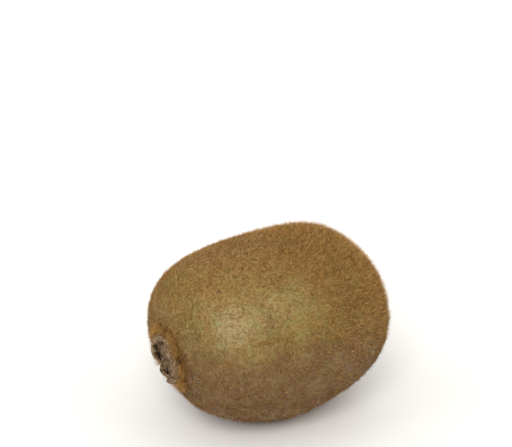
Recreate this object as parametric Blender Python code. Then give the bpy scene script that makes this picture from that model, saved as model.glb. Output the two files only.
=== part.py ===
"""A kiwi fruit, picked and lying on its side.

Metres, +Z up. The fruit stands on z = 0 with the origin at the middle of its box, and its long axis runs
along X. The end that hung from the vine is at -X, with the dried calyx and the scar of the stalk. The
other end is at +X, with the dried styles of the flower.
"""

import math
import random

import bmesh
import bpy
from mathutils import Matrix, Vector, noise

# The fruit: half sizes of a squared ellipsoid, and low swells round its side outline as
# (how many round, height, where the first one stands above the +X end)
HALF_LENGTH = 0.0301
HALF_WIDTH = 0.0256
HALF_HEIGHT = 0.0241
SQUARENESS = 2.84
SWELLS = (
    (3, 0.00077, math.radians(28.9)),
    (4, 0.00088, math.radians(-1.8)),
)
SWELL_FADE = 1.5

# A rounded shoulder on the upper far side: the way to it from the middle, its height and its reach
SHOULDER_WAY = Vector((0.60, 0.16, 0.785)).normalized()
SHOULDER_HEIGHT = 0.0012
SHOULDER_REACH = 0.0085

# Shallow dents and rises all over
DENT_HEIGHT = 0.00016
DENTS_PER_RADIUS = 2.3

# How it lies: the stem end hangs lower, the growing axis leans from the long axis, and the flower end is
# turned a little to the far side
LYING_TILT = math.radians(-1.9)
GROWING_LEAN = math.radians(4.2)
FLOWER_SWING = 0.05
FLAT_DEPTH = 0.00035

# The skin is drawn in round both ends: depth, and the arc out to where it has mostly faded
STEM_HOLLOW = (0.0034, 0.0090)
FLOWER_HOLLOW = (0.0013, 0.0044)

SKIN_COLUMNS = 72
SKIN_ROWS = 44
POLE_CROWDING = 0.16

# What is dried on to the skin keeps this far clear of it
SKIN_GAP = 0.0003

# The calyx: a corky cup round the scar of the stalk, and the sepals that lie round it
CUP_RADIUS = 0.0046
CUP_FOOT_RADIUS = 0.0054
CUP_HEIGHT = 0.0021
PIT_RADIUS = 0.0020
PIT_FLOOR = 0.0008
CUP_COLUMNS = 48
# A sepal lies flat from its root to its bend, and from there its tip is rolled up and inwards
SEPAL_COUNT = 6
SEPAL_ROOT = 0.0035
SEPAL_BEND = 0.0059
SEPAL_ROLL_RADIUS = 0.00090
SEPAL_HALF_WIDTH = 0.0037
SEPAL_THICKNESS = 0.0010
SEPAL_STEPS = 12
SEPAL_STEPS_ACROSS = 8

# The pith of the stalk, dried in the pit of the cup
PITH_RADIUS = 0.0016
PITH_HEIGHT = 0.0009

# The dried styles: a button, and the tapering threads that stand round it and bend outwards
BUTTON_RADIUS = 0.0021
BUTTON_HEIGHT = 0.0013
STYLE_COUNT = 24
STYLE_LENGTH = 0.0036
STYLE_ROOT_RADIUS = 0.00042
STYLE_TIP_RADIUS = 0.00024
STYLE_STEPS = 5
STYLE_SIDES = 4

SEED = 14

STEM_END = Vector((-math.cos(GROWING_LEAN), 0.0, -math.sin(GROWING_LEAN)))
FLOWER_END = Vector((math.cos(GROWING_LEAN), FLOWER_SWING, math.sin(GROWING_LEAN))).normalized()
SIDE = Vector((0.0, 1.0, 0.0))


def clear_scene():
    """Takes away whatever the file holds, so that the fruit is all that is left."""
    for thing in list(bpy.data.objects):
        bpy.data.objects.remove(thing, do_unlink=True)


def make_material(name, colour, roughness):
    """A Principled material of one colour."""
    material = bpy.data.materials.new(name)
    material.use_nodes = True
    shader = material.node_tree.nodes["Principled BSDF"]
    shader.inputs["Base Color"].default_value = (*colour, 1.0)
    shader.inputs["Roughness"].default_value = roughness
    shader.inputs["Metallic"].default_value = 0.0
    material.diffuse_color = (*colour, 1.0)
    return material


def bump(direction, middle, height, reach):
    """The height of a rounded bump, or the depth of a hollow, whose middle lies in another direction."""
    arc = direction.angle(middle) * HALF_LENGTH
    return height * math.exp(-((arc / reach) ** 2))


def skin(direction):
    """The point of the skin that lies in this direction from the middle of the fruit."""
    x, y, z = direction
    across = math.hypot(y / HALF_WIDTH, z / HALF_HEIGHT)
    along = abs(x / HALF_LENGTH)
    radius = (along**SQUARENESS + across**SQUARENESS) ** (-1 / SQUARENESS)
    turn = math.atan2(z, x)
    fade = (1 - y * y) ** SWELL_FADE
    for count, height, start in SWELLS:
        radius += height * fade * math.cos(count * (turn - start))
    radius += bump(direction, SHOULDER_WAY, SHOULDER_HEIGHT, SHOULDER_REACH)
    radius += DENT_HEIGHT * noise.noise(direction * DENTS_PER_RADIUS)
    radius -= bump(direction, STEM_END, *STEM_HOLLOW)
    radius -= bump(direction, FLOWER_END, *FLOWER_HOLLOW)
    return direction * radius


def direction_from(end, arc, turn):
    """The direction that lies an arc away from an end of the fruit, turned round that end."""
    up = SIDE.cross(end).normalized()
    outward = SIDE * math.cos(turn) + up * math.sin(turn)
    angle = arc / HALF_LENGTH
    return (end * math.cos(angle) + outward * math.sin(angle)).normalized()


def above_skin(end, arc, turn, height):
    """A point at a height above the skin, an arc away from an end of the fruit and turned round it."""
    step = 0.0004
    here = skin(direction_from(end, arc, turn))
    further = skin(direction_from(end, arc + step, turn))
    if arc < step:
        return here + end * height
    sideways = skin(direction_from(end, arc, turn + step / arc))
    normal = (further - here).cross(sideways - here).normalized()
    if normal.dot(end) < 0:
        normal.negate()
    return here + normal * height


def finish_object(name, shape, material):
    """Turns a bmesh into a smooth-shaded object with its faces pointing out."""
    bmesh.ops.recalc_face_normals(shape, faces=shape.faces)
    mesh = bpy.data.meshes.new(name)
    shape.to_mesh(mesh)
    shape.free()
    mesh.shade_smooth()
    mesh.set_sharp_from_angle(angle=math.radians(50))
    made = bpy.data.objects.new(name, mesh)
    mesh.materials.append(material)
    bpy.context.scene.collection.objects.link(made)
    return made


def lying_matrix():
    """Turns the fruit's own frame into the way that it lies, before it is set down."""
    return Matrix.Rotation(LYING_TILT, 4, "Y")


def make_fruit(material):
    """The whole fruit as one solid, with a small flat spot underneath where its weight has pressed it."""
    shape = bmesh.new()
    bmesh.ops.create_uvsphere(shape, u_segments=SKIN_COLUMNS, v_segments=SKIN_ROWS, radius=1.0)
    for vertex in shape.verts:
        polar = math.acos(max(-1.0, min(1.0, -vertex.co.z)))
        polar -= POLE_CROWDING * math.sin(2 * polar)
        turn = math.atan2(vertex.co.y, vertex.co.x)
        vertex.co = skin(direction_from(STEM_END, polar * HALF_LENGTH, turn))
    turned = lying_matrix()
    lowest = min((turned @ vertex.co).z for vertex in shape.verts)
    down = turned.inverted() @ Vector((0.0, 0.0, -1.0))
    bmesh.ops.bisect_plane(
        shape,
        geom=shape.verts[:] + shape.edges[:] + shape.faces[:],
        dist=0.00001,
        plane_co=down * -(lowest + FLAT_DEPTH),
        plane_no=down,
        clear_outer=True,
    )
    rim = [edge for edge in shape.edges if edge.is_boundary]
    bmesh.ops.edgeloop_fill(shape, edges=rim)
    return finish_object("fruit", shape, material)


def grid_solid(top, bottom):
    """A closed bmesh between two grids of points that share their size, joined round their rim."""
    shape = bmesh.new()
    rows, columns = len(top), len(top[0])
    upper = [[shape.verts.new(point) for point in row] for row in top]
    lower = [[shape.verts.new(point) for point in row] for row in bottom]
    for i in range(rows - 1):
        for j in range(columns - 1):
            shape.faces.new((upper[i][j], upper[i + 1][j], upper[i + 1][j + 1], upper[i][j + 1]))
            shape.faces.new((lower[i][j], lower[i][j + 1], lower[i + 1][j + 1], lower[i + 1][j]))
    rim = [(i, 0) for i in range(rows)] + [(rows - 1, j) for j in range(1, columns)]
    rim += [(i, columns - 1) for i in range(rows - 2, -1, -1)] + [(0, j) for j in range(columns - 2, 0, -1)]
    for here, after in zip(rim, rim[1:] + rim[:1]):
        (a, b), (c, d) = here, after
        shape.faces.new((upper[a][b], upper[c][d], lower[c][d], lower[a][b]))
    return shape


def turned_solid(end, outline, columns, ripple=None):
    """A closed bmesh turned round an end of the fruit from an outline of (arc, height above the skin).

    The outline starts and ends on the axis. A ripple, if given, changes each (arc, height) by the turn.
    """
    shape = bmesh.new()
    rings = []
    for arc, height in outline[1:-1]:
        ring = []
        for column in range(columns):
            turn = 2 * math.pi * column / columns
            at = ripple(arc, height, turn) if ripple else (arc, height)
            ring.append(shape.verts.new(above_skin(end, at[0], turn, at[1])))
        rings.append(ring)
    first = shape.verts.new(above_skin(end, 0.0, 0.0, outline[0][1]))
    last = shape.verts.new(above_skin(end, 0.0, 0.0, outline[-1][1]))
    for column in range(columns):
        after = (column + 1) % columns
        shape.faces.new((first, rings[0][column], rings[0][after]))
        shape.faces.new((last, rings[-1][after], rings[-1][column]))
        for inner, outer in zip(rings, rings[1:]):
            shape.faces.new((inner[column], outer[column], outer[after], inner[after]))
    return shape


def join_by_union(base, others):
    """Joins the other objects into the base as one body, and removes them."""
    group = bpy.data.collections.new(base.name + "_pieces")
    bpy.context.scene.collection.children.link(group)
    for other in others:
        bpy.context.scene.collection.objects.unlink(other)
        group.objects.link(other)
    union = base.modifiers.new("union", "BOOLEAN")
    union.operation = "UNION"
    union.operand_type = "COLLECTION"
    union.collection = group
    union.solver = "EXACT"
    bpy.context.view_layer.objects.active = base
    with bpy.context.temp_override(object=base, active_object=base, selected_objects=[base]):
        bpy.ops.object.modifier_apply(modifier=union.name)
    for other in others:
        bpy.data.objects.remove(other, do_unlink=True)
    bpy.data.collections.remove(group)
    base.data.shade_smooth()
    base.data.set_sharp_from_angle(angle=math.radians(50))


def cup_ripple(arc, height, turn):
    """The rim of the corky cup is uneven: it is higher on one side, and torn in waves."""
    share = min(1.0, height / CUP_HEIGHT)
    lift = 0.16 * math.sin(turn - 0.9) + 0.11 * math.sin(3 * turn + 0.5) + 0.07 * math.sin(5 * turn + 2.1)
    spread = 0.05 * math.sin(2 * turn + 0.4) + 0.035 * math.sin(5 * turn)
    return arc * (1 + spread), height * (1 + share * lift)


def cup_outline():
    """The side of the corky cup as (arc, height): under side, foot, rim, and down into the pit."""
    return (
        (0.0, SKIN_GAP),
        (CUP_FOOT_RADIUS * 0.45, SKIN_GAP),
        (CUP_FOOT_RADIUS * 0.85, SKIN_GAP),
        (CUP_FOOT_RADIUS, SKIN_GAP + 0.0003),
        (CUP_FOOT_RADIUS * 0.97, SKIN_GAP + 0.0008),
        (CUP_RADIUS, CUP_HEIGHT * 0.72),
        (CUP_RADIUS * 0.92, CUP_HEIGHT * 0.92),
        (CUP_RADIUS * 0.80, CUP_HEIGHT),
        (CUP_RADIUS * 0.66, CUP_HEIGHT * 0.90),
        (PIT_RADIUS * 1.12, CUP_HEIGHT * 0.66),
        (PIT_RADIUS, PIT_FLOOR),
        (PIT_RADIUS * 0.5, PIT_FLOOR),
        (0.0, PIT_FLOOR),
    )


def sepal_line(along, radius, roll):
    """The middle line of a sepal as (arc, height, angle of rise), from its root at 0 to its tip at 1."""
    foot = SKIN_GAP + SEPAL_THICKNESS / 2
    flat = SEPAL_BEND - SEPAL_ROOT
    way = along * (flat + radius * roll)
    if way < flat:
        return SEPAL_ROOT + way, foot, 0.0
    angle = (way - flat) / radius
    return SEPAL_BEND + radius * math.sin(angle), foot + radius * (1 - math.cos(angle)), angle


def make_sepal(index, material, draw):
    """One dried sepal: a thick rounded blade, rooted under the cup, with its tip rolled up and inwards."""
    turn = 2 * math.pi * (index + draw.uniform(-0.1, 0.1)) / SEPAL_COUNT
    half_width = SEPAL_HALF_WIDTH * draw.uniform(0.9, 1.08)
    radius = SEPAL_ROLL_RADIUS * draw.uniform(0.82, 1.12)
    roll = draw.uniform(2.5, 3.2)
    skew = draw.uniform(0.0001, 0.0004)
    raised = draw.uniform(0.0, 0.0002)
    wave = draw.uniform(0.0, 2 * math.pi)
    top, bottom = [], []
    for i in range(SEPAL_STEPS + 1):
        along = i / SEPAL_STEPS
        arc, middle, angle = sepal_line(along, radius, roll)
        wide = half_width * math.sqrt(max(0.0, 1 - along**7)) * (0.7 + 0.3 * math.sin(math.pi * along))
        wide = max(wide, 0.0016)
        upper_row, lower_row = [], []
        for j in range(SEPAL_STEPS_ACROSS + 1):
            across = 2 * j / SEPAL_STEPS_ACROSS - 1
            half = SEPAL_THICKNESS / 2 * (1 - 0.25 * across**4)
            lift = raised + along * (skew * (1 + across) + 0.00018 * math.sin(3.0 * across + 4 * along + wave))
            for row, side in ((upper_row, half), (lower_row, -half)):
                height = middle + lift + side * math.cos(angle)
                at = arc - side * math.sin(angle)
                row.append(above_skin(STEM_END, at, turn + across * wide / arc, height))
        top.append(upper_row)
        bottom.append(lower_row)
    return finish_object(f"sepal_{index}", grid_solid(top, bottom), material)


def make_calyx(material):
    """The dried calyx: the corky cup round the stalk's scar with its sepals, joined as they grew."""
    draw = random.Random(SEED)
    cup = finish_object("calyx", turned_solid(STEM_END, cup_outline(), CUP_COLUMNS, cup_ripple), material)
    join_by_union(cup, [make_sepal(index, material, draw) for index in range(SEPAL_COUNT)])
    return cup


def make_pith(material):
    """The green pith of the stalk, shrunk into a low dished plug in the pit of the cup."""
    foot = PIT_FLOOR + SKIN_GAP
    outline = (
        (0.0, foot),
        (PITH_RADIUS * 0.9, foot),
        (PITH_RADIUS, foot + PITH_HEIGHT * 0.35),
        (PITH_RADIUS * 0.88, foot + PITH_HEIGHT * 0.95),
        (PITH_RADIUS * 0.66, foot + PITH_HEIGHT),
        (PITH_RADIUS * 0.32, foot + PITH_HEIGHT * 0.72),
        (0.0, foot + PITH_HEIGHT * 0.62),
    )

    def lobed(arc, height, turn):
        return arc * (1 + 0.05 * math.sin(5 * turn)), height

    return finish_object("stalk_pith", turned_solid(STEM_END, outline, 30, lobed), material)


def make_style(index, material, draw):
    """One dried style: a tapering thread that leaves the button and bends over towards the skin."""
    turn = 2 * math.pi * (index + draw.uniform(-0.3, 0.3)) / STYLE_COUNT
    length = STYLE_LENGTH * draw.uniform(0.62, 1.0)
    lift = draw.uniform(0.0004, 0.0018)
    twist = draw.uniform(-0.55, 0.55)
    shape = bmesh.new()
    rings = []
    for i in range(STYLE_STEPS + 1):
        along = i / STYLE_STEPS
        thick = STYLE_ROOT_RADIUS + (STYLE_TIP_RADIUS - STYLE_ROOT_RADIUS) * along
        arc = 0.0009 + length * along**0.9
        height = SKIN_GAP + thick + 0.0005 + lift * math.sin(math.pi * min(1.0, 0.15 + along * 0.95))
        ring = []
        for side in range(STYLE_SIDES):
            angle = 2 * math.pi * (side + 0.5) / STYLE_SIDES
            sideways = turn + twist * along**2 + math.cos(angle) * thick / arc
            ring.append(shape.verts.new(above_skin(FLOWER_END, arc, sideways, height + math.sin(angle) * thick)))
        rings.append(ring)
    shape.faces.new(rings[0])
    shape.faces.new(rings[-1])
    for before, after in zip(rings, rings[1:]):
        for side in range(STYLE_SIDES):
            other = (side + 1) % STYLE_SIDES
            shape.faces.new((before[side], before[other], after[other], after[side]))
    return finish_object(f"style_{index}", shape, material)


def make_style_tuft(material):
    """The dried styles of the flower, fused to the button that they grew from."""
    draw = random.Random(SEED + 1)
    outline = (
        (0.0, SKIN_GAP),
        (BUTTON_RADIUS * 0.9, SKIN_GAP),
        (BUTTON_RADIUS, BUTTON_HEIGHT * 0.45),
        (BUTTON_RADIUS * 0.85, BUTTON_HEIGHT * 0.9),
        (BUTTON_RADIUS * 0.45, BUTTON_HEIGHT * 1.05),
        (0.0, BUTTON_HEIGHT),
    )
    button = finish_object("style_tuft", turned_solid(FLOWER_END, outline, 28), material)
    join_by_union(button, [make_style(index, material, draw) for index in range(STYLE_COUNT)])
    return button


def set_down(pieces):
    """Parents the pieces to an empty that lays the fruit on z = 0, with the middle of its box over the origin."""
    lying = bpy.data.objects.new("lying", None)
    bpy.context.scene.collection.objects.link(lying)
    turned = lying_matrix()
    points = [turned @ vertex.co for piece in pieces for vertex in piece.data.vertices]
    low = Vector([min(point[axis] for point in points) for axis in range(3)])
    high = Vector([max(point[axis] for point in points) for axis in range(3)])
    lying.rotation_euler = turned.to_euler()
    lying.location = (-(low.x + high.x) / 2, -(low.y + high.y) / 2, -low.z)
    for piece in pieces:
        piece.parent = lying


def main():
    clear_scene()
    skin_brown = make_material("skin_brown", (0.29, 0.19, 0.085), 0.75)
    dried_grey = make_material("dried_grey", (0.26, 0.20, 0.13), 0.85)
    pith_green = make_material("pith_green", (0.16, 0.20, 0.07), 0.7)
    style_brown = make_material("style_brown", (0.12, 0.07, 0.035), 0.85)
    set_down(
        [
            make_fruit(skin_brown),
            make_calyx(dried_grey),
            make_pith(pith_green),
            make_style_tuft(style_brown),
        ]
    )


main()
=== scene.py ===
"""The looks of a kiwi fruit that lies on its side: its furred skin, the dried calyx and the dried flower.

The solids of the frame carry everything. The skin is a finer copy of the fruit's solid, and the hairs grow
on it, combed from the stem end towards the flower end.
"""

import math

import bmesh
import bpy
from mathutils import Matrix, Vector, noise


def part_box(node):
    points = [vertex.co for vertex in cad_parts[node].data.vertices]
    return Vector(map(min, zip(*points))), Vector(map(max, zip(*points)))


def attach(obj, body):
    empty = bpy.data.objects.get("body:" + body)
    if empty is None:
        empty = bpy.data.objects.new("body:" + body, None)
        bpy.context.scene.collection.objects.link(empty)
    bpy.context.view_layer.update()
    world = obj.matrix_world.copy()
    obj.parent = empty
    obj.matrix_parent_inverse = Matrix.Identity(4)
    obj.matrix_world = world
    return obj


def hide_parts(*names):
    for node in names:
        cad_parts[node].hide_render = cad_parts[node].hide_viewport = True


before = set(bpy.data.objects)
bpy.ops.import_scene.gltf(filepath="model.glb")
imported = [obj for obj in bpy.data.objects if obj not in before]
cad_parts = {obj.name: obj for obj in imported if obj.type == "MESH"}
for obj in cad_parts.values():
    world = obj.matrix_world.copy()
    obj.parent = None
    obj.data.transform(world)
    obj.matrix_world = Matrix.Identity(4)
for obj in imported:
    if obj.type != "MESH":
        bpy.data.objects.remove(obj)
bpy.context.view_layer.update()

# The swirls of the coat are drawn from this seed, or they would differ from run to run
noise.seed_set(7)

MM = 0.001

# The photograph's frame, and where the middle of the fruit is in it
PICTURE_WIDTH = 512
PICTURE_HEIGHT = 447
FRUIT_PIXEL = (268.8, 325.2)

CAMERA_AZIMUTH = math.radians(-28)
CAMERA_ELEVATION = math.radians(27)
CAMERA_DISTANCE = 0.511
CAMERA_LENS = 133.6
SENSOR = 36.0

# How the copies of the solids are made finer, and how far above the floor everything stays
MERGE_DISTANCE = 0.001 * MM
SMOOTH_ENOUGH = math.radians(40)
FINE_LEVELS = 2
FLOOR_GAP = 0.03 * MM

# One hair as it is modelled, before each copy gets its own length and thickness. Its root, its swelling and
# the heights where it is cut for bending are shares of its length or thickness.
HAIR_LENGTH = 1.5 * MM
HAIR_THICKNESS = 0.085 * MM
HAIR_BOW = 0.30 * MM
HAIR_ROOT = 0.04
HAIR_SWELL = 0.5
HAIR_CUTS = (0.30, 0.62)
HAIR_TONE_WIDTH = 0.012

# How much the copies vary: their length and thickness as shares of the pattern's, and how they are rolled
HAIR_LENGTHS = (0.55, 1.25)
HAIR_THICKNESSES = (0.65, 1.25)
HAIR_ROLL = 1.8

# How far hairs of the coat are lifted off the skin, in degrees: the least, what is added where they stand
# most, how much this varies, and over about what distance
LEAST_LIFT = 9
STANDING_LIFT = 38
LIFT_VARIETY = 10
LIFT_PATCH = 2.5 * MM

# The hairs lie flatter towards the floor: between which heights, and the share of their lift that stays
LOW_HEIGHTS = (0.3 * MM, 6 * MM)
LOW_LIFT = 0.15

# The swirls in which the hairs lie, each as its size and how strongly it turns a hair
LARGE_SWIRLS = (5 * MM, 1.3)
SMALL_SWIRLS = (1.6 * MM, 1.0)
FRINGE_SWIRLS = (1.6 * MM, 1.3)
FLOWER_SWIRLS = (1.3 * MM, 0.9)

# The shoulder that nothing has rubbed: where it starts and is reached, towards the flower end and upwards
SHOULDER_ALONG = (-4 * MM, 16 * MM)
SHOULDER_UP = (-6 * MM, 12 * MM)

# The hairs curl over about this distance
CURL_SIZE = 0.7 * MM

# Hairs of the coat stand together in tufts about this far apart
TUFT_SIZE = 0.5 * MM

# How many hairs of each colour grow all over the skin, and the least share of them at any place
COAT_COUNT = 12000
LEAST_SHARE = 0.08

# Where the coat is thinner: over what distance or height, and what share of it is missing
FLOWER_THINNING = (2.5 * MM, 5 * MM, 0.7)
BELLY_THINNING = (2 * MM, 13 * MM, 0.65)
RUBBED_LOSS = 0.6

# The hairs round the calyx: the ring on which they grow, from its inner to its outer edge
CALYX_EDGE = 6.4 * MM
FRINGE_OUTER = 9.3 * MM
FRINGE_COUNT = 5000
# The near-black hairs under the calyx's edge are painted shade
SHADE_COUNT = 6000

# The hairs round the dried flower
FLOWER_HAIR_OUTER = 6.5 * MM
FLOWER_HAIR_COUNT = 5000

# The long pale hairs that stand out of the coat, most of them on the upper side
LONG_COUNT = 12000


def middle_of(node):
    """The middle of a node's box."""
    low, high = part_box(node)
    return (Vector(low) + Vector(high)) / 2


FRUIT_MIDDLE = middle_of("fruit")
CALYX_MIDDLE = middle_of("calyx")
FLOWER_MIDDLE = middle_of("style_tuft")
GROWING_WAY = (FLOWER_MIDDLE - CALYX_MIDDLE).normalized()

# Where the near flank is rubbed, so that the skin shines through: the place from the fruit's middle, how far
# the rubbing reaches, and how bare it leaves the skin in its core
RUBBED_SPOTS = (
    (Vector((-16.0, -15.6, 9.5)) * MM, 14 * MM, 1.0),
    (Vector((-3.3, -21.1, 14.0)) * MM, 10 * MM, 0.8),
)
RUBBED_CORE = 3 * MM

# The skin's marks: how large its blotches, patches, freckles and grain are, how far apart its small scars,
# where a scar's edge starts and ends in shares of that, and how strongly it shows
BLOTCH_SIZE = 9 * MM
PATCH_SIZE = 2.2 * MM
FRECKLE_SIZE = 0.55 * MM
GRAIN_SIZE = 0.30 * MM
SCAR_SPACING = 5.5 * MM
SCAR_EDGE = (0.12, 0.07)
SCAR_STRENGTH = 0.8

# Where the skin is darker round the calyx and the flower: fully up to the first distance, and less and less
# up to the second
CALYX_STAIN = (5.5 * MM, 9.4 * MM)
FLOWER_STAIN = (3.5 * MM, 8 * MM)

# The skin's colour by height: where it starts, where it is strongest, and the colour. The top band is partly
# the skin's own browner top and partly painted warm light from above, the middle band is painted shade on the
# lower flank, and the pale lowest band is painted light bounced up from the floor. Below them are the most
# that shows of it, how uneven its borders are, and over about what distance.
HEIGHT_BANDS_WITH_PAINTED_LIGHT = (
    (45 * MM, 55 * MM, (142, 102, 40)),
    (39 * MM, 28 * MM, (108, 77, 45)),
    (16 * MM, 9 * MM, (162, 132, 97)),
)
BAND_SHARE = 0.85
BAND_UNEVENNESS = 8 * MM
BAND_BORDER_SIZE = 7 * MM

# The dried calyx: the size of the cells that it is cut into and of its fibres, how often its folds are
# softened, and the share of a fold that stays each time
CRUST_CELL = 0.13 * MM
CRUST_FIBRE = 0.55 * MM
FOLD_SOFTENING = 3
FOLD_KEPT = 0.4

# The light of the pale room all round
ROOM_LIGHT = 0.35


def colour(red, green, blue):
    """A screen colour, 0 to 255, as the linear colour that the shaders take."""
    def linear(value):
        share = value / 255
        return share / 12.92 if share <= 0.04045 else ((share + 0.055) / 1.055) ** 2.4

    return (linear(red), linear(green), linear(blue), 1.0)


def put(tree, kind, sockets=None, **settings):
    """Adds a node. Each socket gets a value, or a link from the socket that is given for it."""
    made = tree.nodes.new(kind)
    for name, value in settings.items():
        setattr(made, name, value)
    for name, value in (sockets or {}).items():
        socket = made.inputs[name]
        if isinstance(value, bpy.types.NodeSocket):
            tree.links.new(value, socket)
        else:
            socket.default_value = value
    return made


def mix(tree, share, first, second):
    """Mixes two colours."""
    made = put(tree, "ShaderNodeMix", data_type="RGBA")
    for index, value in ((0, share), (6, first), (7, second)):
        if isinstance(value, bpy.types.NodeSocket):
            tree.links.new(value, made.inputs[index])
        else:
            made.inputs[index].default_value = value
    return made.outputs[2]


def share_of(tree, value, start, full, most=1.0):
    """A value brought to 0 at start and to most at full."""
    return put(
        tree,
        "ShaderNodeMapRange",
        {"Value": value, "From Min": start, "From Max": full, "To Min": 0.0, "To Max": most},
    ).outputs["Result"]


def noise_share(tree, where, size, detail=3.0, roughness=0.55, distortion=0.0, low=0.35, high=0.65, most=1.0):
    """Noise whose lumps are about that size in metres, spread out over 0 to most."""
    made = put(
        tree,
        "ShaderNodeTexNoise",
        {
            "Vector": where,
            "Scale": 1 / size,
            "Detail": detail,
            "Roughness": roughness,
            "Distortion": distortion,
        },
    )
    return share_of(tree, made.outputs["Fac"], low, high, most)


def near(tree, where, point, inner, outer):
    """1 within the inner distance of a point, fading to 0 at the outer distance."""
    away = put(tree, "ShaderNodeVectorMath", {0: where, 1: point}, operation="DISTANCE")
    return put(
        tree,
        "ShaderNodeMapRange",
        {"Value": away.outputs["Value"], "From Min": inner, "From Max": outer, "To Min": 1.0, "To Max": 0.0},
        interpolation_type="SMOOTHSTEP",
    ).outputs["Result"]


def start_material(name, roughness, **sockets):
    """A material with its Principled shader, its node tree and its object coordinates."""
    material = bpy.data.materials.new(name)
    material.use_nodes = True
    tree = material.node_tree
    shader = tree.nodes["Principled BSDF"]
    shader.inputs["Roughness"].default_value = roughness
    for socket, value in sockets.items():
        shader.inputs[socket.replace("_", " ")].default_value = value
    where = put(tree, "ShaderNodeTexCoord").outputs["Object"]
    return material, tree, shader, where


def add_bump(tree, shader, height, distance, strength=1.0):
    """Sends a height into the shader's normal."""
    made = put(tree, "ShaderNodeBump", {"Height": height, "Distance": distance, "Strength": strength})
    tree.links.new(made.outputs["Normal"], shader.inputs["Normal"])


def skin_finish():
    """Leathery skin, blotched, freckled and scarred: olive on the flanks, brown on top partly as painted warm
    light, darker and redder below as painted shade, and pale on the belly as painted bounce light.
    """
    material, tree, shader, where = start_material("kiwi_skin", 0.39, Specular_IOR_Level=0.52)
    blotches = noise_share(tree, where, BLOTCH_SIZE)
    patches = noise_share(tree, where, PATCH_SIZE, detail=4.0)
    ground = mix(tree, blotches, colour(144, 129, 67), colour(133, 127, 68))
    ground = mix(tree, patches, ground, colour(145, 115, 55))
    up = put(tree, "ShaderNodeSeparateXYZ", {"Vector": where}).outputs["Z"]
    uneven = noise_share(tree, where, BAND_BORDER_SIZE, detail=2.0, low=0.3, high=0.7, most=BAND_UNEVENNESS)
    height = put(tree, "ShaderNodeMath", {0: up, 1: uneven}, operation="ADD").outputs[0]
    # Painted light by height: a browner top that is partly painted warm light from above, painted shade on
    # the lower flank, and painted bounce light on the belly
    for start, full, shade in HEIGHT_BANDS_WITH_PAINTED_LIGHT:
        ground = mix(tree, share_of(tree, height, start, full, BAND_SHARE), ground, colour(*shade))
    freckles = noise_share(tree, where, FRECKLE_SIZE, low=0.5, high=0.72)
    ground = mix(tree, freckles, ground, colour(116, 87, 43))
    scars = put(tree, "ShaderNodeTexVoronoi", {"Vector": where, "Scale": 1 / SCAR_SPACING})
    scar = share_of(tree, scars.outputs["Distance"], *SCAR_EDGE, most=SCAR_STRENGTH)
    ground = mix(tree, scar, ground, colour(82, 54, 30))
    round_calyx = near(tree, where, CALYX_MIDDLE, *CALYX_STAIN)
    ground = mix(tree, round_calyx, ground, colour(84, 52, 28))
    round_flower = near(tree, where, FLOWER_MIDDLE, *FLOWER_STAIN)
    ground = mix(tree, round_flower, ground, colour(74, 50, 28))
    tree.links.new(ground, shader.inputs["Base Color"])
    grain = noise_share(tree, where, GRAIN_SIZE, detail=4.0, low=0.2, high=0.8)
    add_bump(tree, shader, grain, distance=0.08 * MM, strength=0.7)
    return material


def hair_finish(name, root, dark, pale):
    """Hair of one colour family. The hair's own map gives its tone across and its length upwards."""
    material, tree, shader, _ = start_material(name, 0.45, Specular_IOR_Level=0.25)
    own = put(tree, "ShaderNodeUVMap", uv_map="OFBake").outputs["UV"]
    split = put(tree, "ShaderNodeSeparateXYZ", {"Vector": own})
    tone = mix(tree, split.outputs["X"], colour(*dark), colour(*pale))
    # Each hair darkens to its root colour towards its foot; where that colour is near black, as in the calyx
    # fringe, it is painted shade between the tufts
    along = share_of(tree, split.outputs["Y"], 0.0, 0.45)
    tree.links.new(mix(tree, along, colour(*root), tone), shader.inputs["Base Color"])
    return material


def crust_finish():
    """The dried calyx: grey-brown cork, paler on its ridges as a painted highlight and nearly black in its
    folds as painted shade.
    """
    material, tree, shader, where = start_material("dried_calyx", 0.85, Specular_IOR_Level=0.2)
    blotches = noise_share(tree, where, size=2.4 * MM, detail=5.0)
    ground = mix(tree, blotches, colour(134, 108, 78), colour(106, 83, 58))
    fibre = {"detail": 6.0, "roughness": 0.7, "distortion": 1.4, "low": 0.38, "high": 0.62}
    dark_fibres = noise_share(tree, where, CRUST_FIBRE, most=0.55, **fibre)
    ground = mix(tree, dark_fibres, ground, colour(92, 72, 52))
    fold = put(tree, "ShaderNodeAttribute", attribute_name="fold").outputs["Fac"]
    # Painted highlight on the ridges and painted shade in the folds, read from how each vertex lies between
    # its neighbours
    ridge = share_of(tree, fold, 0.5, 1.0, most=0.75)
    ground = mix(tree, ridge, ground, colour(158, 137, 108))
    painted_fold_shade = share_of(tree, fold, 0.50, 0.14)
    ground = mix(tree, painted_fold_shade, ground, colour(34, 24, 17))
    tree.links.new(ground, shader.inputs["Base Color"])
    add_bump(tree, shader, noise_share(tree, where, CRUST_FIBRE, **fibre), distance=0.07 * MM)
    return material


def pith_finish():
    """The stalk's dried pith: dull green, flecked paler by its fibres."""
    material, tree, shader, where = start_material("dried_pith", 0.8, Specular_IOR_Level=0.2)
    fibres = noise_share(tree, where, size=0.5 * MM, detail=4.0)
    ground = mix(tree, fibres, colour(92, 101, 52), colour(136, 130, 84))
    tree.links.new(ground, shader.inputs["Base Color"])
    add_bump(tree, shader, fibres, distance=0.1 * MM)
    return material


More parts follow.
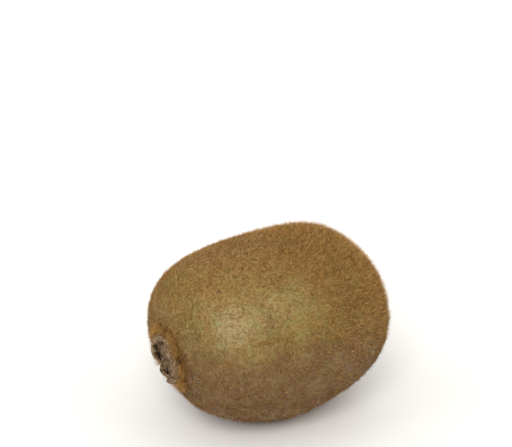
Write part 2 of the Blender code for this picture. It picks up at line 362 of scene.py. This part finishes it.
def style_finish():
    """The dried styles: brown threads, darker towards the button."""
    material, tree, shader, where = start_material("dried_styles", 0.75, Specular_IOR_Level=0.3)
    streaks = noise_share(tree, where, size=0.6 * MM, detail=4.0)
    ground = mix(tree, streaks, colour(94, 66, 40), colour(146, 112, 74))
    button = FLOWER_MIDDLE - GROWING_WAY * 1.5 * MM
    core = near(tree, where, button, inner=1.0 * MM, outer=3.2 * MM)
    ground = mix(tree, core, ground, colour(52, 36, 23))
    tree.links.new(ground, shader.inputs["Base Color"])
    add_bump(tree, shader, streaks, distance=0.08 * MM)
    return material


def floor_finish():
    """The plain white surface that the fruit lies on."""
    material, _, shader, _ = start_material("white_surface", 0.9, Specular_IOR_Level=0.1)
    shader.inputs["Base Color"].default_value = (0.9, 0.9, 0.9, 1.0)
    return material


def select_only(piece):
    """Deselects everything, then selects one object and makes it the active one."""
    bpy.ops.object.select_all(action="DESELECT")
    piece.select_set(True)
    bpy.context.view_layer.objects.active = piece


def apply_modifier(piece, name, kind, **settings):
    """Adds a modifier, sets it, and applies it."""
    select_only(piece)
    made = piece.modifiers.new(name, kind)
    for setting, value in settings.items():
        setattr(made, setting, value)
    bpy.ops.object.modifier_apply(modifier=name)


def refine(piece):
    """Rounds the facets of a piece."""
    apply_modifier(piece, "fine", "SUBSURF", levels=FINE_LEVELS, render_levels=FINE_LEVELS)


def roughen(piece, name, size, strength, depth=2):
    """Raises and dents a surface by soft lumps of about that size."""
    texture = bpy.data.textures.new(name, "CLOUDS")
    texture.noise_scale = size
    texture.noise_depth = depth
    apply_modifier(piece, name, "DISPLACE", texture=texture, texture_coords="LOCAL", strength=strength)


def copy_of_solid(node, name):
    """A copy of a solid of the frame, with its loose triangles merged."""
    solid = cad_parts[node]
    piece = bpy.data.objects.new(name, solid.data.copy())
    bpy.context.scene.collection.objects.link(piece)
    piece.data.materials.clear()
    select_only(piece)
    bpy.ops.object.mode_set(mode="EDIT")
    bpy.ops.mesh.select_all(action="SELECT")
    bpy.ops.mesh.remove_doubles(threshold=MERGE_DISTANCE)
    bpy.ops.mesh.tris_convert_to_quads(face_threshold=SMOOTH_ENOUGH, shape_threshold=SMOOTH_ENOUGH)
    bpy.ops.mesh.customdata_custom_splitnormals_clear()
    bpy.ops.object.mode_set(mode="OBJECT")
    bpy.ops.object.shade_smooth()
    return piece


def finish_piece(piece, material, slot, *solids):
    """Gives a piece its material, hides the solids that it stands for, and hangs it on the body that it rides
    on. The slot is not used.
    """
    piece.data.materials.clear()
    piece.data.materials.append(material)
    if solids:
        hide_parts(*solids)
    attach(piece, "root")


def make_skin():
    """The skin as a finer, softly dented copy of the fruit's solid."""
    skin = copy_of_solid("fruit", "skin")
    refine(skin)
    roughen(skin, "dents", size=1.6 * MM, strength=0.12 * MM)
    keep_above_floor(skin)
    return skin


def share_between(value, low, high):
    """0 below low, 1 above high, and a smooth step between."""
    share = min(1.0, max(0.0, (value - low) / (high - low)))
    return share * share * (3 - 2 * share)


def standing(point):
    """How much the hairs stand up: most on the upper shoulder at the flower end, which nothing has rubbed."""
    along = (point - FRUIT_MIDDLE).dot(GROWING_WAY)
    up = point.z - FRUIT_MIDDLE.z
    return share_between(along, *SHOULDER_ALONG) * share_between(up, *SHOULDER_UP)


def lay_flat(way, normal):
    """The part of a direction that runs along the skin."""
    return (way - normal * way.dot(normal)).normalized()


def swirl_at(point, size, strength):
    """A push to one side that changes from place to place over about that size."""
    return noise.noise_vector(point / size) * strength


def coat_way(point, normal):
    """The way that a hair points where it grows: from the stem end to the flower end, in swirls."""
    swirl = swirl_at(point, *LARGE_SWIRLS) + swirl_at(point, *SMALL_SWIRLS)
    lay = lay_flat((point - CALYX_MIDDLE).normalized() + swirl, normal)
    variety = LIFT_VARIETY * noise.noise(point / LIFT_PATCH)
    lift = math.radians(LEAST_LIFT + STANDING_LIFT * standing(point) + variety)
    lift *= share_between(point.z, *LOW_HEIGHTS) * (1 - LOW_LIFT) + LOW_LIFT
    return lay * math.cos(lift) + normal * math.sin(lift)


def coat_growth(point):
    """How long the hairs are at a point: longest on the shoulder that nothing has rubbed."""
    return 0.85 + 0.35 * standing(point) + 0.25 * noise.noise(point / (3 * MM))


def fringe_way(point, normal):
    """The hairs round the calyx stand up: next to it they lean over it, and further out away from it."""
    swirl = swirl_at(point, *FRINGE_SWIRLS)
    away = point - CALYX_MIDDLE
    outward = share_between(away.length, CALYX_EDGE, FRINGE_OUTER) * 1.6 - 0.2
    lay = lay_flat(away.normalized() * outward + swirl, normal)
    return lay * 0.7 + normal * 0.7


def fringe_growth(point):
    """The fringe is longest next to the calyx."""
    away = (point - CALYX_MIDDLE).length
    return 1.2 - 0.45 * share_between(away, CALYX_EDGE, FRINGE_OUTER)


def flower_way(point, normal):
    """The hairs round the dried flower stand up and lean over it."""
    swirl = swirl_at(point, *FLOWER_SWIRLS)
    lay = lay_flat((FLOWER_MIDDLE - point).normalized() + swirl, normal)
    return lay * 0.7 + normal * 0.7


def rubbed(point):
    """How much the skin is rubbed at a point, 0 to 1."""
    return max(
        bare * (1 - share_between((point - FRUIT_MIDDLE - spot).length, RUBBED_CORE, reach))
        for spot, reach, bare in RUBBED_SPOTS
    )


def thinned(value, low, high, missing):
    """The share of hairs that is left: part of them are missing below low, and none above high."""
    return 1 - missing * (1 - share_between(value, low, high))


def coat_density(salt, lean):
    """How thickly hairs of one colour grow, 0 to 1, as a function of the point.

    The colour grows in its own patches. Lean says where there is more of it: (upwards, at the stem end).
    """
    upward, stemward = lean

    # The size of the patches, how much they count, and where their pattern starts
    patches = (
        (4 * MM, 0.8, Vector((3.1, 7.7, salt))),
        (1.1 * MM, 0.9, Vector((salt, 5.3, 1.9))),
        (10 * MM, 0.6, Vector((salt, 2.7, salt))),
    )

    def density(point):
        share = 0.5
        for size, weight, start in patches:
            share += weight * noise.noise(point / size + start)
        # Leaning a colour upwards or downwards is partly painted light on top and painted shade underneath
        share += upward * (share_between(point.z, 12 * MM, 42 * MM) - 0.5)
        away = (point - CALYX_MIDDLE).length
        share += stemward * (1 - share_between(away, 7 * MM, 22 * MM))
        left = 1 - RUBBED_LOSS * rubbed(point)
        left *= thinned((point - FLOWER_MIDDLE).length, *FLOWER_THINNING)
        left *= thinned(point.z, *BELLY_THINNING)
        outside = share_between(away, CALYX_EDGE - 0.4 * MM, CALYX_EDGE + 1.6 * MM)
        return max(LEAST_SHARE, min(1.0, share)) * outside * left

    return density


def fringe_density(point):
    """Most hairs of the fringe grow just outside the calyx, and fewer further away."""
    away = (point - CALYX_MIDDLE).length
    tufts = 0.24 + 2.4 * noise.noise(point / (1.5 * MM))
    edge = 1.6 * MM * noise.noise(point / (2.2 * MM) + Vector((4.0, 0.0, 9.0)))
    ring = share_between(away, CALYX_EDGE + 0.4 * MM, CALYX_EDGE + 1.1 * MM)
    return max(0.0, tufts) * ring * (1 - share_between(away, CALYX_EDGE + 1.2 * MM, FRINGE_OUTER + edge))


def shade_density(point):
    """Short near-black hairs fill the gap under the calyx as painted shade."""
    away = (point - CALYX_MIDDLE).length
    return 1 - share_between(away, CALYX_EDGE + 0.4 * MM, CALYX_EDGE + 1.6 * MM)


def flower_density(point):
    """The hairs round the flower grow most thickly next to it."""
    away = (point - FLOWER_MIDDLE).length
    return 1 - share_between(away, FLOWER_HAIR_OUTER * 0.3, FLOWER_HAIR_OUTER)


def long_way(point, normal):
    """The long pale hairs stand up more than the coat."""
    return (coat_way(point, normal) + normal * (0.25 + 0.7 * standing(point))).normalized()


def long_density(point):
    """The long pale hairs grow all over, more thickly on the upper side and thickest on its far shoulder."""
    clear = share_between((point - CALYX_MIDDLE).length, CALYX_EDGE + 1 * MM, CALYX_EDGE + 5 * MM)
    upper = share_between(point.z, 18 * MM, 44 * MM)
    return clear * (0.12 + 0.40 * upper + 0.9 * standing(point)) * (1 - 0.85 * rubbed(point))


def add_attribute(mesh, name, kind, values):
    """Stores one value for each vertex under a name."""
    made = mesh.attributes.new(name, kind, "POINT")
    key = "vector" if kind == "FLOAT_VECTOR" else "value"
    made.data.foreach_set(key, values)


def model_hair(name):
    """One tapering hair of three sides, closed at its root, bowed to one side."""
    bpy.ops.object.select_all(action="DESELECT")
    bpy.ops.mesh.primitive_cone_add(
        vertices=3,
        radius1=HAIR_THICKNESS / 2,
        radius2=0,
        depth=HAIR_LENGTH,
        end_fill_type="NGON",
        location=(0, 0, HAIR_LENGTH * (0.5 - HAIR_ROOT)),
    )
    hair = bpy.context.object
    hair.name = name
    bpy.ops.object.transform_apply(location=True)
    bpy.ops.object.mode_set(mode="EDIT")
    for share in HAIR_CUTS:
        bpy.ops.mesh.select_all(action="SELECT")
        bpy.ops.mesh.bisect(plane_co=(0, 0, HAIR_LENGTH * share), plane_no=(0, 0, 1))
    bpy.ops.object.mode_set(mode="OBJECT")
    for vertex in hair.data.vertices:
        height = max(0.0, vertex.co.z / HAIR_LENGTH)
        swell = 1 + HAIR_SWELL * math.sin(math.pi * min(1.0, height))
        vertex.co.x = vertex.co.x * swell + HAIR_BOW * 4 * height * (1 - height)
        vertex.co.y = vertex.co.y * swell + HAIR_BOW * 0.5 * math.sin(2 * math.pi * height)
    bpy.ops.object.mode_set(mode="EDIT")
    bpy.ops.mesh.select_all(action="SELECT")
    bpy.ops.mesh.normals_make_consistent(inside=False)
    bpy.ops.object.mode_set(mode="OBJECT")
    bpy.ops.object.shade_smooth()
    while hair.data.uv_layers:
        hair.data.uv_layers.remove(hair.data.uv_layers[0])
    own = hair.data.uv_layers.new(name="OFBake")
    for loop in hair.data.loops:
        place = hair.data.vertices[loop.vertex_index].co
        own.data[loop.index].uv = (HAIR_TONE_WIDTH / 2, min(1.0, max(0.0, place.z / HAIR_LENGTH)))
    return hair


class Coat:
    """The hairs of one piece: where they grow, which way, how long, and how they curl."""

    def __init__(
        self, name, count, finish, density, way, growth, seed,
        length=1.0, thickness=1.0, tuft=0.38, tuft_size=TUFT_SIZE, curl=0.9, unruly=0.8,
    ):
        self.name = name
        self.count = count
        self.finish = finish
        self.density = density
        self.way = way
        self.growth = growth
        self.seed = seed
        self.length = length
        self.thickness = thickness
        self.tuft = tuft
        self.tuft_size = tuft_size
        self.unruly = unruly
        self.curl = curl


def hair_growth(coat, hair, density):
    """A node group that plants copies of a hair all over a mesh, combs them and gathers them in tufts."""
    tree = bpy.data.node_groups.new(coat.name, "GeometryNodeTree")
    tree.interface.new_socket("Geometry", in_out="INPUT", socket_type="NodeSocketGeometry")
    tree.interface.new_socket("Geometry", in_out="OUTPUT", socket_type="NodeSocketGeometry")

    def named(attribute, kind):
        made = put(tree, "GeometryNodeInputNamedAttribute", {"Name": attribute}, data_type=kind)
        return made.outputs["Attribute"]

    def draw(low, high, turn, kind="FLOAT"):
        made = put(tree, "FunctionNodeRandomValue", {"Seed": coat.seed * 10 + turn}, data_type=kind)
        least, most = [socket for socket in made.inputs if socket.enabled and socket.name in ("Min", "Max")]
        least.default_value, most.default_value = low, high
        return next(socket for socket in made.outputs if socket.enabled)

    def maths(operation, *values):
        return put(tree, "ShaderNodeMath", dict(enumerate(values)), operation=operation).outputs[0]

    def vectors(operation, *values):
        return put(tree, "ShaderNodeVectorMath", dict(enumerate(values)), operation=operation).outputs[0]

    def scaled(vector, scale):
        return put(tree, "ShaderNodeVectorMath", {0: vector, "Scale": scale}, operation="SCALE").outputs[0]

    def store(geometry, name, kind, domain, value):
        return put(
            tree,
            "GeometryNodeStoreNamedAttribute",
            {"Geometry": geometry, "Name": name, "Value": value},
            data_type=kind,
            domain=domain,
        ).outputs["Geometry"]

    start = put(tree, "NodeGroupInput").outputs["Geometry"]
    planted = put(
        tree,
        "GeometryNodeDistributePointsOnFaces",
        {"Mesh": start, "Density": maths("MULTIPLY", named("roots", "FLOAT"), density), "Seed": coat.seed},
        distribute_method="RANDOM",
    )
    own_tone = draw(0.0, 1.0 - HAIR_TONE_WIDTH * 1.5, 5)
    points = store(planted.outputs["Points"], "tone", "FLOAT", "POINT", own_tone)
    place = put(tree, "GeometryNodeInputPosition").outputs["Position"]
    points = store(points, "root", "FLOAT_VECTOR", "POINT", place)

    stray = draw((-coat.unruly,) * 3, (coat.unruly,) * 3, 1, "FLOAT_VECTOR")
    aim = vectors("ADD", named("comb", "FLOAT_VECTOR"), stray)
    turned = put(tree, "FunctionNodeAlignRotationToVector", {"Vector": aim}, axis="Z")
    roll = draw((-HAIR_ROLL,) * 3, (HAIR_ROLL,) * 3, 2, "FLOAT_VECTOR")
    side = vectors("ADD", planted.outputs["Normal"], roll)
    rolled = put(
        tree,
        "FunctionNodeAlignRotationToVector",
        {"Rotation": turned.outputs["Rotation"], "Vector": side},
        axis="X",
        pivot_axis="Z",
    )
    thick = draw(*(share * coat.thickness for share in HAIR_THICKNESSES), 3)
    long = draw(*(share * coat.length for share in HAIR_LENGTHS), 4)
    long = maths("MULTIPLY", long, named("growth", "FLOAT"))
    pattern = put(tree, "GeometryNodeObjectInfo", {"Object": hair}, transform_space="ORIGINAL")
    copies = put(
        tree,
        "GeometryNodeInstanceOnPoints",
        {
            "Points": points,
            "Instance": pattern.outputs["Geometry"],
            "Rotation": rolled.outputs["Rotation"],
            "Scale": put(tree, "ShaderNodeCombineXYZ", {"X": thick, "Y": thick, "Z": long}).outputs["Vector"],
        },
    ).outputs["Instances"]
    grown = put(tree, "GeometryNodeRealizeInstances", {"Geometry": copies}).outputs["Geometry"]

    own = named("OFBake", "FLOAT_VECTOR")
    tone = put(tree, "ShaderNodeCombineXYZ", {"X": named("tone", "FLOAT")}).outputs["Vector"]
    reach = maths("POWER", put(tree, "ShaderNodeSeparateXYZ", {"Vector": own}).outputs["Y"], 2.0)
    root = named("root", "FLOAT_VECTOR")
    tufts = put(tree, "ShaderNodeTexVoronoi", {"Vector": root, "Scale": 1 / coat.tuft_size})
    gather = scaled(vectors("SUBTRACT", tufts.outputs["Position"], root), maths("MULTIPLY", reach, coat.tuft))
    stir = put(tree, "ShaderNodeTexNoise", {"Vector": place, "Scale": 1 / CURL_SIZE, "Detail": 1.0})
    curl = scaled(
        vectors("SUBTRACT", stir.outputs["Color"], (0.5, 0.5, 0.5)), maths("MULTIPLY", reach, coat.curl * MM)
    )
    shaped = put(tree, "GeometryNodeSetPosition", {"Geometry": grown, "Offset": vectors("ADD", gather, curl)})
    mapped = store(shaped.outputs["Geometry"], "OFBake", "FLOAT2", "CORNER", vectors("ADD", own, tone))
    painted = put(tree, "GeometryNodeSetMaterial", {"Geometry": mapped, "Material": coat.finish})
    put(tree, "NodeGroupOutput", {"Geometry": painted.outputs["Geometry"]})
    return tree


def area_under(mesh, values):
    """The mesh's area, each face weighted by the values at its vertices."""
    total = 0.0
    for face in mesh.polygons:
        total += face.area * sum(values[index] for index in face.vertices) / len(face.vertices)
    return total


def grow_coat(coat, skin, hair):
    """One piece with all the hairs of a coat."""
    piece = bpy.data.objects.new(coat.name, skin.data.copy())
    bpy.context.scene.collection.objects.link(piece)
    vertices = piece.data.vertices
    roots = [coat.density(vertex.co) for vertex in vertices]
    ways = [part for vertex in vertices for part in coat.way(vertex.co, vertex.normal)]
    add_attribute(piece.data, "roots", "FLOAT", roots)
    add_attribute(piece.data, "comb", "FLOAT_VECTOR", ways)
    add_attribute(piece.data, "growth", "FLOAT", [coat.growth(vertex.co) for vertex in vertices])
    growth = hair_growth(coat, hair, coat.count / area_under(piece.data, roots))
    select_only(piece)
    piece.modifiers.new("grow", "NODES").node_group = growth
    bpy.ops.object.modifier_apply(modifier="grow")
    bpy.data.node_groups.remove(growth)
    keep_above_floor(piece)
    spent = {"comb", "growth", "roots", "tone", "root"} & set(piece.data.attributes.keys())
    for name in sorted(spent):
        piece.data.attributes.remove(piece.data.attributes[name])
    finish_piece(piece, coat.finish, "skin")


def keep_above_floor(piece):
    """Lays whatever would pass through the floor on it."""
    flat = [0.0] * (3 * len(piece.data.vertices))
    piece.data.vertices.foreach_get("co", flat)
    flat[2::3] = [max(height, FLOOR_GAP) for height in flat[2::3]]
    piece.data.vertices.foreach_set("co", flat)
    piece.data.update()


# Each colour of hair: its name, its shade at the root, its dark and pale tones, and where there is more of it
# (upwards, at the stem end). Putting the golden and amber hairs higher and the rust and umber ones lower is
# partly painted warm light above and painted shade below.
COAT_COLOURS = (
    ("gold", (134, 98, 44), (152, 111, 52), (202, 158, 88), (0.8, 0.0)),
    ("straw", (138, 110, 56), (152, 122, 64), (208, 174, 108), (0.4, -0.1)),
    ("amber", (126, 84, 37), (148, 99, 44), (188, 132, 68), (0.8, 0.2)),
    ("rust", (118, 70, 34), (137, 79, 38), (166, 101, 52), (-0.4, 0.6)),
    ("olive", (114, 95, 46), (126, 104, 49), (154, 130, 70), (-0.1, -0.2)),
    ("umber", (92, 64, 31), (106, 75, 37), (130, 94, 50), (-0.6, 0.4)),
)


def grow_hairs(skin):
    """All the coats: six colours all over, the long hairs, and those round the calyx and the flower."""
    hair = model_hair("hair_pattern")
    ways = {vertex.co.copy().freeze(): coat_way(vertex.co, vertex.normal) for vertex in skin.data.vertices}
    growths = {point: coat_growth(point) for point in ways}
    coats = [
        Coat(
            name + "_hairs",
            COAT_COUNT,
            hair_finish(name + "_hair", root, dark, pale),
            coat_density(5 * turn, lean),
            lambda point, normal: ways[point.copy().freeze()],
            lambda point: growths[point.copy().freeze()],
            seed=11 + turn,
        )
        for turn, (name, root, dark, pale, lean) in enumerate(COAT_COLOURS)
    ]
    coats.append(
        Coat(
            "long_hairs",
            LONG_COUNT,
            hair_finish("long_hair", (138, 96, 44), (184, 134, 64), (234, 190, 118)),
            long_density,
            long_way,
            coat_growth,
            seed=30,
            length=1.15,
            thickness=1.1,
            unruly=0.65,
        )
    )
    # The fringe's near-black roots are painted shade between its tufts
    coats.append(
        Coat(
            "calyx_fringe",
            FRINGE_COUNT,
            hair_finish("fringe_hair", (42, 26, 13), (132, 90, 42), (218, 170, 96)),
            fringe_density,
            fringe_way,
            fringe_growth,
            seed=31,
            length=1.7,
            thickness=1.15,
            tuft=0.85,
            tuft_size=1.4 * MM,
            curl=1.8,
        )
    )
    # Near-black hairs in the gap under the calyx: painted shade
    coats.append(
        Coat(
            "calyx_shade_hairs",
            SHADE_COUNT,
            hair_finish("shade_hair", (24, 16, 9), (44, 29, 16), (74, 50, 26)),
            shade_density,
            fringe_way,
            lambda point: 1.0,
            seed=32,
            length=0.6,
            curl=1.2,
        )
    )
    coats.append(
        Coat(
            "flower_hairs",
            FLOWER_HAIR_COUNT,
            hair_finish("flower_hair", (50, 33, 18), (96, 66, 36), (156, 116, 66)),
            flower_density,
            flower_way,
            lambda point: 1.0,
            seed=33,
            length=1.15,
            tuft=0.6,
            curl=1.4,
        )
    )
    for coat in coats:
        grow_coat(coat, skin, hair)
    bpy.data.objects.remove(hair, do_unlink=True)


def mark_folds(piece):
    """Stores how each vertex lies between its neighbours: 0 in a fold, 0.5 on the flat, 1 on a ridge."""
    shape = bmesh.new()
    shape.from_mesh(piece.data)
    neighbours = [[edge.other_vert(vertex) for edge in vertex.link_edges] for vertex in shape.verts]
    folds = []
    for vertex, around in zip(shape.verts, neighbours):
        middle = sum((other.co for other in around), Vector()) / len(around)
        folds.append((vertex.co - middle).dot(vertex.normal))
    for _ in range(FOLD_SOFTENING):
        folds = [
            FOLD_KEPT * fold + (1 - FOLD_KEPT) * sum(folds[other.index] for other in around) / len(around)
            for fold, around in zip(folds, neighbours)
        ]
    shape.free()
    spread = math.sqrt(sum(fold * fold for fold in folds) / len(folds))
    shares = [min(1.0, max(0.0, 0.5 + 0.25 * fold / spread)) for fold in folds]
    add_attribute(piece.data, "fold", "FLOAT", shares)


def make_calyx():
    """The dried calyx, its sharp edges worn round and its cork lumpy and wrinkled."""
    crust = copy_of_solid("calyx", "calyx_crust")
    apply_modifier(crust, "fine", "REMESH", mode="VOXEL", voxel_size=CRUST_CELL, use_smooth_shade=True)
    apply_modifier(crust, "round", "SMOOTH", factor=0.5, iterations=6)
    roughen(crust, "lumps", size=1.5 * MM, strength=0.7 * MM, depth=1)
    roughen(crust, "wrinkles", size=0.6 * MM, strength=0.20 * MM)
    mark_folds(crust)
    finish_piece(crust, crust_finish(), "calyx", "calyx")


def make_pith():
    """The dried pith in the pit of the calyx."""
    pith = copy_of_solid("stalk_pith", "pith_plug")
    refine(pith)
    roughen(pith, "pith_grain", size=0.4 * MM, strength=0.15 * MM)
    finish_piece(pith, pith_finish(), "pith", "stalk_pith")


def make_styles():
    """The dried styles of the flower."""
    styles = copy_of_solid("style_tuft", "dried_flower")
    refine(styles)
    roughen(styles, "style_grain", size=0.3 * MM, strength=0.12 * MM)
    finish_piece(styles, style_finish(), "styles", "style_tuft")


def make_floor():
    """The surface that the fruit lies on."""
    bpy.ops.object.select_all(action="DESELECT")
    bpy.ops.mesh.primitive_plane_add(size=6.0, location=(0, 0, 0))
    floor = bpy.context.object
    floor.name = "floor"
    floor.data.materials.append(floor_finish())


def towards(azimuth, elevation):
    """The direction from the fruit towards a place round it, with azimuth 0 in front."""
    level = math.cos(elevation)
    return Vector((math.sin(azimuth) * level, -math.cos(azimuth) * level, math.sin(elevation)))


def make_camera():
    """The photograph's camera. It looks past the fruit's middle, so that this falls on its own pixel."""
    camera = bpy.data.objects.new("camera", bpy.data.cameras.new("camera"))
    bpy.context.scene.collection.objects.link(camera)
    camera.data.lens = CAMERA_LENS
    camera.data.sensor_width = SENSOR
    back = towards(CAMERA_AZIMUTH, CAMERA_ELEVATION)
    camera.location = FRUIT_MIDDLE + back * CAMERA_DISTANCE
    pixels = PICTURE_WIDTH * CAMERA_LENS / SENSOR
    aside = math.atan((FRUIT_PIXEL[0] - PICTURE_WIDTH / 2) / pixels)
    below = math.atan((FRUIT_PIXEL[1] - PICTURE_HEIGHT / 2) / pixels)
    look = (-back).to_track_quat("-Z", "Y").to_matrix()
    right, up = look.col[0], look.col[1]
    aim = -back - right * math.tan(aside) + up * math.tan(below)
    camera.rotation_euler = aim.to_track_quat("-Z", "Y").to_euler()
    bpy.context.scene.camera = camera


def add_light(name, azimuth, elevation, softness, power, tint=(1, 1, 1)):
    """A far, soft light. Its softness is how wide it looks from the fruit, in degrees."""
    light = bpy.data.objects.new(name, bpy.data.lights.new(name, "SUN"))
    bpy.context.scene.collection.objects.link(light)
    light.data.angle = math.radians(softness)
    light.data.energy = power
    light.data.color = tint
    back = towards(math.radians(azimuth), math.radians(elevation))
    light.location = FRUIT_MIDDLE + back
    light.rotation_euler = (-back).to_track_quat("-Z", "Y").to_euler()


def light_studio():
    """Soft light from the camera's left and from above, in a pale room that the camera sees as white."""
    world = bpy.data.worlds.new("studio")
    bpy.context.scene.world = world
    world.use_nodes = True
    tree = world.node_tree
    room = tree.nodes["Background"]
    room.inputs["Color"].default_value = (1.0, 1.0, 1.0, 1.0)
    room.inputs["Strength"].default_value = ROOM_LIGHT
    seen = put(tree, "ShaderNodeBackground", {"Color": (1.0, 1.0, 1.0, 1.0), "Strength": 1.0})
    straight = put(tree, "ShaderNodeLightPath").outputs["Is Camera Ray"]
    both = put(tree, "ShaderNodeMixShader", {0: straight, 1: room.outputs[0], 2: seen.outputs[0]})
    tree.links.new(both.outputs[0], tree.nodes["World Output"].inputs["Surface"])
    bpy.context.scene.view_settings.view_transform = "Standard"
    add_light("key", azimuth=-34, elevation=39, softness=30, power=1.70)
    add_light("left", azimuth=-105, elevation=35, softness=60, power=0.5)
    add_light("top", azimuth=-13, elevation=75, softness=80, power=1.05, tint=(1.0, 0.92, 0.78))
    add_light("back", azimuth=150, elevation=35, softness=70, power=0.6)
    add_light("side", azimuth=47, elevation=40, softness=40, power=0.2)


make_floor()
make_camera()
light_studio()
skin = make_skin()
grow_hairs(skin)
finish_piece(skin, skin_finish(), "skin", "fruit")
make_calyx()
make_pith()
make_styles()
